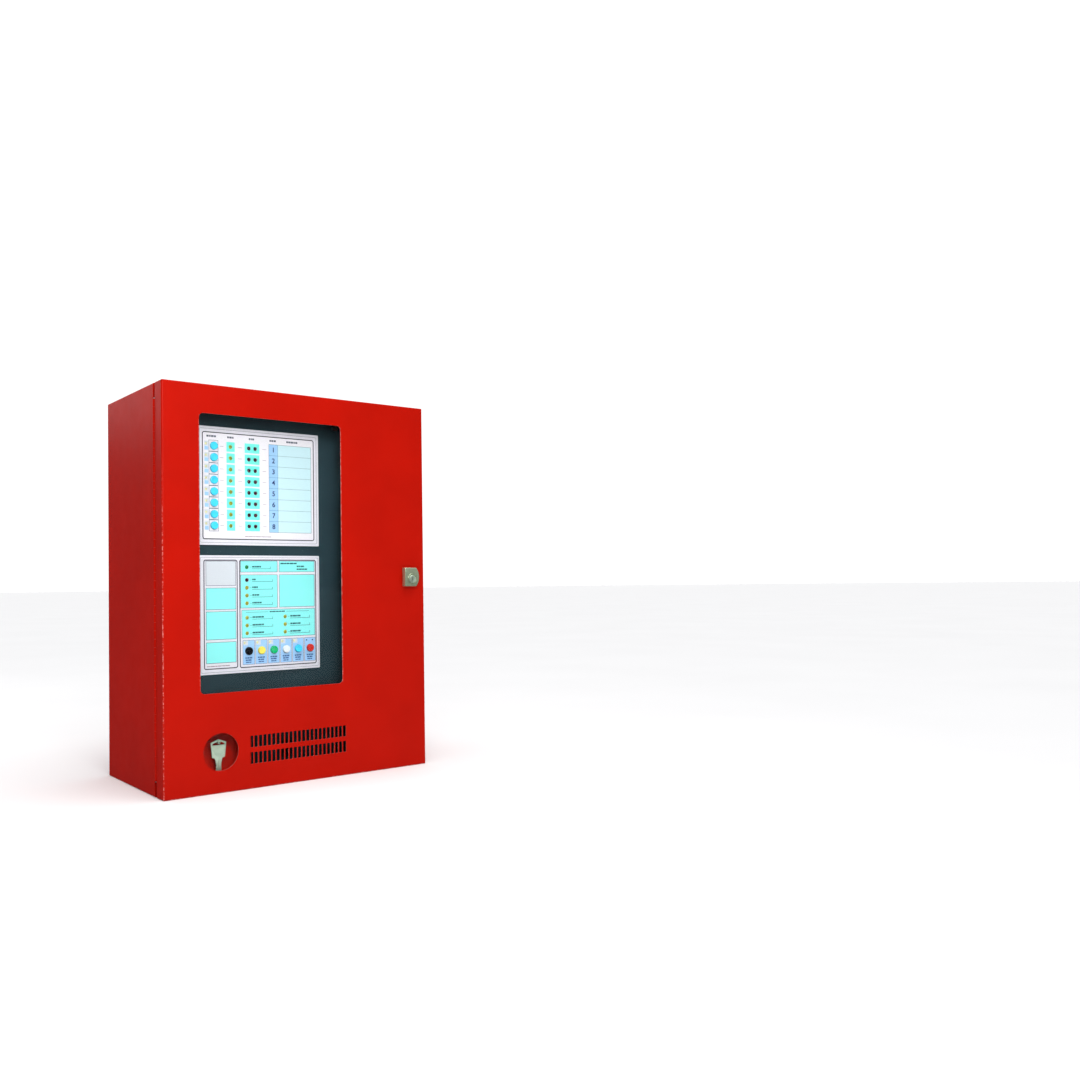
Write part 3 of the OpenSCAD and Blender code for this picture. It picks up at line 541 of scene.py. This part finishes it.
def button(button_node):
    """Cap with a soft edge and a shallow dish for the finger, over its flange and stem."""
    low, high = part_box(button_node)
    spot = middle(button_node)
    top, stem_end = low[1], high[1]
    flange_r = size(button_node).x / 2
    cap_r = flange_r - 0.8 * MM
    stem_r = 1.7 * MM
    flange_back = stem_end - 3.9 * MM
    flange_front = flange_back - 1 * MM
    edge = 0.8 * MM
    dish = 0.35 * MM
    profile = [(0, top + dish), (cap_r * 0.3, top + dish * 0.9), (cap_r * 0.55, top + dish * 0.5),
               (cap_r - edge - 0.3 * MM, top)]
    profile += arc(cap_r - edge, top + edge, edge, -90, 0, 6)
    profile += [(cap_r, flange_front), (flange_r, flange_front), (flange_r, flange_back),
                (stem_r, flange_back), (stem_r, stem_end), (0, stem_end)]
    bm = bmesh.new()
    lathe(bm, spot.x, spot.z, profile)
    obj = piece(button_node + "_cap", bm, button_node, node_slot[button_node])
    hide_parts(button_node)


zone_nodes = sorted(n for n in frame["nodes"] if n.startswith("zone_button_"))
control_nodes = [c + "_button" for c in ("black", "yellow", "green", "white", "blue", "red")]
for button_node in zone_nodes + control_nodes:
    button(button_node)

# ---------------------------------------------------------------- printed overlays

INK = {
    "grey": film("ink pale grey", srgb(210, 208, 213)),
    "blush": film("ink warm white", srgb(218, 215, 218)),
    "cyan": film("ink cyan", srgb(134, 222, 217)),
    "mint": film("ink mint", srgb(112, 220, 204)),
    "ice": film("ink ice blue", srgb(186, 214, 218)),
    "sky": film("ink sky blue", srgb(150, 188, 222)),
    "white": film("ink white", srgb(194, 199, 203)),
    "line": film("ink dark grey", srgb(40, 42, 52)),
    "pale_line": film("ink mid grey", srgb(84, 90, 102)),
    "rose": film("ink rose grey", srgb(130, 112, 120)),
    "navy": film("ink navy", srgb(16, 34, 84)),
    "ocean": film("ink slate blue", srgb(52, 92, 140)),
    "teal": film("ink teal", srgb(44, 98, 100)),
}
INK_NAMES = list(INK)
INKS = list(INK.values())
FILM_T = 0.2 * MM
INK_T = 0.04 * MM
DIGITS = 4                      # the layer of numbers, which no hole reaches

# Hole radii and the gap round a film, in millimetres.
BUTTON_HOLE = 5.1
LAMP_HOLE = 2.6
SMALL_HOLE = 1.6
MARGIN = 0.2


class Overlay:
    """A printed film on a faceplate. Places are in millimetres from the plate's middle."""

    def __init__(self, faceplate):
        self.spot = middle(faceplate)
        self.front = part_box(faceplate)[0][1]
        self.layers = {}
        self.holes = []
        half_w = size(faceplate).x / 2 / MM - MARGIN
        half_h = size(faceplate).z / 2 / MM - MARGIN
        self.block(0, "grey", -half_w, half_w, -half_h, half_h, 1)

    def at(self, x, z):
        return self.spot.x + x * MM, self.spot.z + z * MM

    def outline(self, x0, x1, z0, z1, r):
        (left, bottom), (right, top) = self.at(x0, z0), self.at(x1, z1)
        return rounded(left, right, bottom, top, r * MM)

    def layer(self, number):
        return self.layers.setdefault(number, bmesh.new())

    def depths(self, number):
        """Front and back of a layer: 0 is the film, and the inks lie on it."""
        if number == 0:
            return self.front - FILM_T, self.front
        back = self.front - FILM_T - (number - 1) * INK_T
        return back - INK_T, back

    def shape(self, number, ink, outline):
        prism(self.layer(number), outline, *self.depths(number), INK_NAMES.index(ink))

    def block(self, number, ink, x0, x1, z0, z1, r=0):
        self.shape(number, ink, self.outline(x0, x1, z0, z1, r))

    def frame(self, number, ink, x0, x1, z0, z1, line, r=0):
        """A line along the inside of a rectangle."""
        inner_r = max(0.01, r - line) if r > 0 else 0
        ring(self.layer(number), self.outline(x0, x1, z0, z1, r),
             self.outline(x0 + line, x1 - line, z0 + line, z1 - line, inner_r),
             *self.depths(number), INK_NAMES.index(ink))

    def cell(self, ink, x0, x1, z0, z1):
        """A coloured field with a line round it."""
        self.block(1, ink, x0, x1, z0, z1)
        self.frame(2, "pale_line", x0 - 0.3, x1 + 0.3, z0 - 0.3, z1 + 0.3, 0.55)

    def bars(self, number, ink, x, z, widths, height, gap=0.5):
        """A short run of blocks that stands for a printed word."""
        for width in widths:
            self.block(number, ink, x, x + width, z - height / 2, z + height / 2)
            x += width + gap

    def digit(self, number, ink, text, x, z, tall):
        """A printed figure, as a mesh in the layer."""
        y_front, y_back = self.depths(number)
        curve = bpy.data.curves.new("digit", "FONT")
        curve.body = text
        curve.size = tall * MM * 1.4            # a figure fills 1 / 1.4 of its type size
        curve.align_x = "CENTER"
        curve.align_y = "CENTER"
        curve.extrude = (y_back - y_front) / 2
        curve.offset = 0.15 * MM
        holder = add("digit", curve)
        mesh = evaluated(holder)
        place_x, place_z = self.at(x, z)
        spot = Vector((place_x, (y_front + y_back) / 2, place_z))
        mesh.transform(Matrix.Translation(spot) @ Matrix.Rotation(math.radians(90), 4, "X"))
        bm = self.layer(number)
        first = len(bm.faces)
        bm.from_mesh(mesh)
        bm.faces.ensure_lookup_table()
        for face in bm.faces[first:]:
            face.material_index = INK_NAMES.index(ink)
        bpy.data.objects.remove(holder)

    def lamp(self, x, z, widths, reach):
        """A lamp's hole and name: a dash, a word, and a line under it with a tick at its end."""
        self.holes.append((x, z, LAMP_HOLE))
        self.block(2, "teal", x + 4.2, x + 6.4, z - 0.2, z + 0.2)
        self.bars(2, "teal", x + 7.4, z + 0.6, widths, 2, 0.4)
        left, right, low, high, line = x + 7, x + reach, z - 2.4, z + 0.8, 0.5
        corners = ((left, low), (right + line, low), (right + line, high), (right, high),
                   (right, low + line), (left, low + line))
        self.shape(2, "teal", [self.at(*corner) for corner in corners])

    def make(self, name):
        """Cuts the holes in every layer and joins the layers into one piece."""
        whole = bmesh.new()
        for number in sorted(self.layers):
            holder = piece(name + "_layer", self.layers[number], "panel", "overlay_sheet", INKS)
            if number != DIGITS:
                cutters = bmesh.new()
                for x, z, r in self.holes:
                    prism(cutters, round_outline(*self.at(x, z), r * MM, 32),
                          self.front - 2 * MM, self.front + 2 * MM)
                cut(holder, cutters)
            whole.from_mesh(holder.data)
            bpy.data.objects.remove(holder)
        piece(name, whole, "panel", "overlay_sheet", INKS)


def offsets(nodes, faceplate):
    """The nodes' places on a faceplate, in millimetres from its middle."""
    spot = middle(faceplate)
    return [((middle(n).x - spot.x) / MM, (middle(n).z - spot.z) / MM) for n in nodes]


def zone_row(o, x, z, pitch):
    """A zone's button at x, the small lamp and marks to its left, and its lamp cells."""
    o.holes += [(x, z, BUTTON_HOLE), (x - 10.2, z + 2.4, SMALL_HOLE)]
    o.frame(2, "pale_line", x - 6.6, x + 6.2, z - pitch / 2, z + pitch / 2, 0.5)
    o.block(2, "sky", x - 12.3, x - 7.2, z - 5.6, z - 0.8)
    o.block(2, "white", x - 12.6, x - 7.2, z - 0.2, z + 5.6)
    for left in (8.4, 33.4, 67.8):
        o.block(2, "rose", x + left, x + left + 5, z - 0.25, z + 0.25)
    for left, right, lamps in ((17.4, 28.8, (23,)), (42.6, 63.4, (48.5, 57.5))):
        o.block(2, "mint", x + left, x + right, z - 6.2, z + 6.2)
        o.holes += [(x + lamp, z, LAMP_HOLE) for lamp in lamps]


def zone_table(o, rows, pitch):
    """The table of zones, with a number and a blank line for each row."""
    left, middle_x, right = 12.5, 25.3, 74.5
    bottom, top = rows[-1] - pitch / 2, rows[0] + pitch / 2
    rule, border = 0.15, 0.2
    o.block(2, "sky", left, middle_x, bottom, top)
    o.block(2, "ice", middle_x, right, bottom, top)
    for z in rows[1:]:
        o.block(3, "teal", left, right, z + pitch / 2 - rule, z + pitch / 2 + rule)
    for i, z in enumerate(rows):
        o.digit(DIGITS, "navy", str(i + 1), (left + middle_x) / 2, z, 6.4)
    o.frame(3, "teal", left - border, right + border, bottom - border, top + border, 0.35)
    o.block(3, "teal", middle_x - rule, middle_x + rule, bottom, top)


def zone_overlay():
    o = Overlay("zone_faceplate")
    page = (-80, 79, -68, 68)
    o.block(1, "blush", *page, 3)
    o.frame(2, "line", *page, 1.2, 3)
    o.frame(1, "pale_line", -83.5, 83, -72, 72, 0.35, 2)
    heads = ((-74, (3, 2, 3.4, 2.6)), (-46, (2.4, 3.2, 2)), (-16, (2, 1.6, 2.6)),
             (13.5, (2.2, 2.8, 3)), (38, (2.6, 3, 3.4, 2, 3)))
    for x, widths in heads:
        o.bars(2, "pale_line", x, 62.5, widths, 2.4, 0.6)
    o.bars(2, "rose", -22, -63.6, (4, 6, 3, 8, 5, 2, 6), 0.8)
    rows = offsets(zone_nodes, "zone_faceplate")
    pitch = rows[0][1] - rows[1][1]
    for x, z in rows:
        zone_row(o, x, z, pitch)
    zone_table(o, [z for x, z in rows], pitch)
    o.make("zone_overlay")


def control_cell(o, x, z):
    """A control button's field, with three words under the button."""
    o.block(1, "sky", x - 8.2, x + 8.2, z - 17.4, z + 13.6)
    o.frame(2, "pale_line", x - 8.4, x + 8.4, z - 17.6, z + 13.8, 0.4)
    o.holes.append((x, z, BUTTON_HOLE))
    o.bars(2, "ocean", x - 5, z - 9, (2.4, 3, 3.4), 1.7)
    o.bars(2, "ocean", x - 4.4, z - 11.8, (3, 4.6), 1.7)
    o.bars(2, "ocean", x - 4, z - 14.6, (4, 3), 1.3)


def control_overlay():
    o = Overlay("control_faceplate")
    o.frame(1, "pale_line", -83.5, 84.5, -72.5, 72.5, 0.35, 2)
    o.frame(1, "line", -79, -33, -68.5, 69.5, 1.2, 3)
    o.frame(1, "line", -30.6, 81, -69, 69.8, 1.2, 3)
    column = (-75.8, -35.6)
    o.cell("white", *column, 36.8, 67.6)
    for low, high in ((6.6, 33.6), (-31.2, 3.8), (-60.8, -34.8)):
        o.cell("cyan", *column, low, high)
    o.bars(1, "rose", -75, -64.6, (4, 6, 3, 5, 4, 6), 0.9)
    left, right = (-28.8, 23.2), (26.2, 78.4)
    upper, lower = (53.8, 67.9), (7.6, 50)
    for across, up in ((left, upper), (right, upper), (left, lower), (right, lower)):
        o.cell("cyan", *across, *up)
    o.cell("cyan", -27.4, 78.6, -30.8, 4.8)
    near_x, far_x, pitch = -20, 34.5, 10
    o.lamp(near_x, 60, (3, 2, 4, 2.4), 33)
    for i, widths in enumerate(((2, 2.4), (2, 3, 2), (3, 2, 4), (2, 4, 3, 3))):
        o.lamp(near_x, 43.5 - pitch * i, widths, 36)
    for i in range(3):
        o.lamp(near_x, -5 - pitch * i, (4, 3, 5, 3), 36)
        o.lamp(far_x, -5 - pitch * i, (3, 5, 2, 4), 36)
    o.bars(2, "teal", 28, 64.8, (5, 3, 4, 6, 4), 1.8)
    o.bars(2, "teal", 52, 61, (3, 2, 5), 1.8)
    o.bars(2, "teal", 52, 57.2, (3, 4, 3, 4), 1.8)
    o.bars(2, "teal", 12, 2, (3, 5, 4, 3, 5), 1.6)
    for x0, x1 in ((-22, 10), (36, 70)):
        o.block(2, "teal", x0, x1, 1.6, 2)
    places = offsets(control_nodes, "control_faceplate")
    for x, z in places:
        control_cell(o, x, z)
    for x, z in places[:-1]:                    # a small lamp in a white patch
        o.block(2, "white", x - 7.6, x - 1, z + 7.4, z + 13.1)
        o.holes.append((x - 5.5, z + 10.5, SMALL_HOLE))
    last_x, last_z = places[-1]
    for dx in (-6, 3):                          # two dots instead, above the last button
        o.block(2, "navy", last_x + dx, last_x + dx + 1.8, last_z + 9.6, last_z + 11.2)
    o.make("control_overlay")


zone_overlay()
control_overlay()

# ---------------------------------------------------------------- lock

ROUND = 64                      # steps round the lock's turned pieces


def lock_outline():
    """Square towards the hinge, with a bulging side away from it."""
    low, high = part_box("lock_body")
    left, right, bottom, top = low[0], high[0], low[2], high[2]
    bulge = 20 * MM
    reach = math.degrees(math.asin((top - bottom) / 2 / bulge))
    side = arc(right - bulge, (bottom + top) / 2, bulge, -reach, reach, 24)
    return [(left, bottom)] + side + [(left, top)]


def lock_housing():
    """Die-cast housing with a raised collar, on a threaded barrel."""
    plug_r = size("lock_plug").x / 2
    collar_r = plug_r + 2.4 * MM
    bm = bmesh.new()
    prism(bm, lock_outline(), lock_front + 0.7 * MM, door_front)
    body = piece("lock_housing", bm, "door", "chrome")
    bevel(body, 1.7 * MM, 4, 40)
    hole = bmesh.new()
    prism(hole, round_outline(lock_spot.x, lock_spot.z, collar_r + 0.05 * MM, ROUND),
          lock_front - MM, door_front + MM)
    cut(body, hole)
    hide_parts("lock_body")

    bore, barrel_r = plug_r + 0.05 * MM, 9 * MM
    edge, groove = 0.6 * MM, 0.9 * MM
    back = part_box("lock_body")[1][1]
    profile = [(bore, lock_front + groove), (bore + groove, lock_front), (collar_r - edge, lock_front)]
    profile += arc(collar_r - edge, lock_front + edge, edge, -90, 0, 4)[1:]
    profile += [(collar_r, lock_front + 0.9 * MM), (collar_r, door_front), (barrel_r, door_front)]
    thread_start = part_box("lock_nut")[0][1] - 0.6 * MM
    thread_pitch, thread_depth = MM, 0.45 * MM
    turns = int((back - thread_start) / thread_pitch)
    profile += [(barrel_r, thread_start)]
    for i in range(turns):
        y = thread_start + i * thread_pitch
        profile += [(barrel_r - thread_depth, y + thread_pitch / 2), (barrel_r, y + thread_pitch)]
    profile += [(barrel_r - 0.6 * MM, back), (bore, back), (bore, lock_front + groove)]
    barrel = bmesh.new()
    lathe(barrel, lock_spot.x, lock_spot.z, profile, ROUND)
    piece("lock_barrel", barrel, "door", "chrome")


def lock_plug():
    """Turning plug with a keyway, a stepped face and a flatted tail for the cam."""
    low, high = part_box("lock_plug")
    front, tail_end = low[1], high[1]
    plug_r = size("lock_plug").x / 2
    plug_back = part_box("lock_body")[1][1]
    edge, step = 0.7 * MM, 0.5 * MM
    profile = [(0, front + step), (plug_r * 0.62, front + step), (plug_r * 0.68, front)]
    profile += [(plug_r - edge, front), (plug_r, front + edge), (plug_r, plug_back), (0, plug_back)]
    bm = bmesh.new()
    lathe(bm, lock_spot.x, lock_spot.z, profile, ROUND)
    plug = piece("lock_plug_face", bm, "lock", "nickel_brass")
    key_way = bmesh.new()
    half_w, half_h = 0.75 * MM, 3.1 * MM
    ward = ((-1, -1), (0.2, -1), (0.2, -0.3), (1, -0.3), (1, 1), (-0.3, 1), (-0.3, 0.3), (-1, 0.3))
    prism(key_way, [(lock_spot.x + dx * half_w, lock_spot.z + dz * half_h) for dx, dz in ward],
          front - MM, front + 7 * MM)
    cut(plug, key_way)
    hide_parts("lock_plug")

    tail = bmesh.new()
    half_flat, tail_r = 3.25 * MM, plug_r - MM
    outline = [(lock_spot.x + x, lock_spot.z + max(-half_flat, min(half_flat, z)))
               for x, z in round_outline(0, 0, tail_r, ROUND)]
    prism(tail, outline, plug_back, tail_end)
    piece("lock_plug_tail", tail, "lock", "nickel_brass")


lock_housing()
lock_plug()

# ---------------------------------------------------------------- spare key


def spare_key():
    """Stamped key: a roofed bow with a framed slot, a shoulder and a milled, notched blade."""
    low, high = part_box("spare_key")
    x = (low[0] + high[0]) / 2
    peg_z = high[2] - 4 * MM
    y0, y1 = low[1], high[1]

    def at(points):
        """Places from millimetres beside and above the peg."""
        return [(x + px * MM, peg_z + pz * MM) for px, pz in points]

    blade = 3.5
    half = [(0, 4), (10.3, -0.1), (8.4, -18.5), (5, -19.3), (blade, -25)]
    point = [(blade, -39.5), (1.5, -43.5), (-1.5, -43.5), (-blade, -41)]
    notches = []
    for tip in (-36, -32, -28):
        notches += [(-blade, tip - 1.1), (-2.4, tip), (-blade, tip + 1.1)]
    outline = half + point + notches + [(-px, pz) for px, pz in reversed(half[1:])]
    bm = bmesh.new()
    prism(bm, at(outline), y0, y1)
    key = piece("spare_key_blank", bm, "spare_key", "nickel_brass")
    hole = bmesh.new()
    prism(hole, at([(0, 1.68), (-7.9, -1.6), (-7.9, -3.3), (7.9, -3.3), (7.9, -1.6)]), y0 - MM, y1 + MM)
    cut(key, hole)
    grooves = bmesh.new()
    milled, pressed = 0.5 * MM, 0.3 * MM        # depths of the blade's groove and the bow's panel
    for y in (y0, y1):
        prism(grooves, at(rounded(-1.6, 0.2, -45, -22, 0)), y - milled, y + milled)
        prism(grooves, at(rounded(-5.6, 5.6, -15.5, -6.5, 2.5, 5)), y - pressed, y + pressed)
    cut(key, grooves)
    bevel(key, 0.22 * MM, 2, 50)
    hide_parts("spare_key")


def key_hook():
    """Bright peg with an upturned end, and a foot painted with the pocket."""
    low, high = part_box("key_hook")
    front, back = low[1], high[1]
    x = middle("key_hook").x
    peg_r, rivet_r, foot_r = 1.5 * MM, 1.2 * MM, size("key_hook").x / 2
    peg_z = low[2] + foot_r
    foot_back = back - SHEET
    foot_front = foot_back - 1 * MM
    edge = 0.3 * MM
    pin_bm = bmesh.new()
    lathe(pin_bm, x, peg_z, [(0, front), (peg_r - edge, front), (peg_r, front + edge),
                             (peg_r, foot_front), (0, foot_front)], 32)
    pin = piece("key_hook_pin", pin_bm, "door", "nickel_brass")
    tip = bmesh.new()
    half_w, rise, tip_t = 1.2 * MM, 3.4 * MM, 1.8 * MM
    prism(tip, rounded(x - half_w, x + half_w, peg_z, peg_z + rise, 0.5 * MM, 4), front, front + tip_t)
    piece("key_hook_tip", tip, "door", "nickel_brass")
    foot = bmesh.new()
    lathe(foot, x, peg_z, [(0, foot_front), (foot_r, foot_front), (foot_r, foot_back),
                           (rivet_r, foot_back), (rivet_r, back), (0, back)], 40)
    piece("key_hook_foot", foot, "door", "red_paint")
    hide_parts("key_hook")


spare_key()
key_hook()

# ---------------------------------------------------------------- stage, light and camera


def stage():
    """A wide, round, flat floor under the cabinet."""
    floor_z = cad_box[0][2]
    bm = bmesh.new()
    bm.faces.new([bm.verts.new((x, y, floor_z)) for x, y in round_outline(0, 0, 40, 96)])
    mesh = bpy.data.meshes.new("floor")
    bm.to_mesh(mesh)
    bm.free()
    s = Surface("pale floor")
    s.mottle(srgb(240, 240, 239), 3, 0.01)
    s.set(Roughness=0.9, Specular_IOR_Level=0.1)
    mesh.materials.append(s.material)
    floor = add("floor", mesh)
    floor.visible_glossy = False


def lamp_object(name, light, place, target):
    obj = add(name, light)
    obj.location = place
    obj.rotation_euler = (Vector(target) - Vector(place)).to_track_quat("-Z", "Y").to_euler()
    obj.visible_camera = False


def area_light(name, place, target, width, height, power):
    light = bpy.data.lights.new(name, "AREA")
    light.shape = "RECTANGLE"
    light.size = width
    light.size_y = height
    light.energy = power
    lamp_object(name, light, place, target)


def soft_sun(name, place, strength, spread):
    light = bpy.data.lights.new(name, "SUN")
    light.energy = strength
    light.angle = math.radians(spread)
    lamp_object(name, light, place, (0, 0, 0))


def studio():
    """A pale backdrop, and a dimmer room around the cabinet that is lighter overhead."""
    world = bpy.data.worlds.new("studio")
    world.use_nodes = True
    nodes, links = world.node_tree.nodes, world.node_tree.links
    nodes.clear()
    room = nodes.new("ShaderNodeBackground")
    coords = nodes.new("ShaderNodeTexCoord")
    split = nodes.new("ShaderNodeSeparateXYZ")
    ramp = nodes.new("ShaderNodeValToRGB")
    links.new(coords.outputs["Generated"], split.inputs["Vector"])
    links.new(split.outputs["Z"], ramp.inputs["Fac"])
    links.new(ramp.outputs["Color"], room.inputs["Color"])
    stops = ((0.0, (0.1, 0.1, 0.11, 1)), (0.8, (0.5, 0.5, 0.52, 1)))
    for element, (height, colour) in zip(ramp.color_ramp.elements, stops):
        element.position = height
        element.color = colour

    # The backdrop is what shows straight or through a pane. All else sees the room.
    backdrop = nodes.new("ShaderNodeBackground")
    backdrop.inputs["Color"].default_value = (0.92, 0.92, 0.92, 1)
    rays = nodes.new("ShaderNodeLightPath")
    bounces = nodes.new("ShaderNodeMath")
    bounces.operation = "ADD"
    links.new(rays.outputs["Diffuse Depth"], bounces.inputs[0])
    links.new(rays.outputs["Glossy Depth"], bounces.inputs[1])
    straight = nodes.new("ShaderNodeMath")
    straight.operation = "LESS_THAN"
    links.new(bounces.outputs["Value"], straight.inputs[0])
    straight.inputs[1].default_value = 0.5
    mix = nodes.new("ShaderNodeMixShader")
    output = nodes.new("ShaderNodeOutputWorld")
    links.new(straight.outputs["Value"], mix.inputs["Fac"])
    links.new(room.outputs["Background"], mix.inputs[1])
    links.new(backdrop.outputs["Background"], mix.inputs[2])
    links.new(mix.outputs["Shader"], output.inputs["Surface"])
    bpy.context.scene.world = world


def camera():
    """The view: from the hinge side, level with the middle of the cabinet."""
    turn, rise, roll = 35.86, 1.25, -0.65
    data = bpy.data.cameras.new("camera")
    data.sensor_width = 36
    data.lens = 32.52
    data.shift_x = 0.103
    data.shift_y = 0.0185
    obj = add("camera", data)
    obj.location = (-0.6102, -1.3196, 0.0057)
    look = Matrix.Rotation(math.radians(-turn), 4, "Z") @ Matrix.Rotation(math.radians(90 + rise), 4, "X")
    obj.rotation_euler = (look @ Matrix.Rotation(math.radians(roll), 4, "Z")).to_euler()
    bpy.context.scene.camera = obj


bpy.context.scene.view_settings.view_transform = "Standard"
bpy.context.scene.view_settings.look = "Medium High Contrast"
for pane in ("window_pane", "key_glass"):       # clear sheets cast no shadow
    frame["nodes"][pane].visible_shadow = False
stage()
studio()
soft_sun("overhead", (0.1, -0.3, 1.5), strength=1.55, spread=50)
area_light("key", (-0.3, -0.95, 0.4), (-0.05, -0.2, 0), width=0.4, height=0.4, power=3.3)
area_light("card", (-0.95, 1.3, 0.75), (-0.2, 0, 0.15), width=1.4, height=0.6, power=2)
camera()
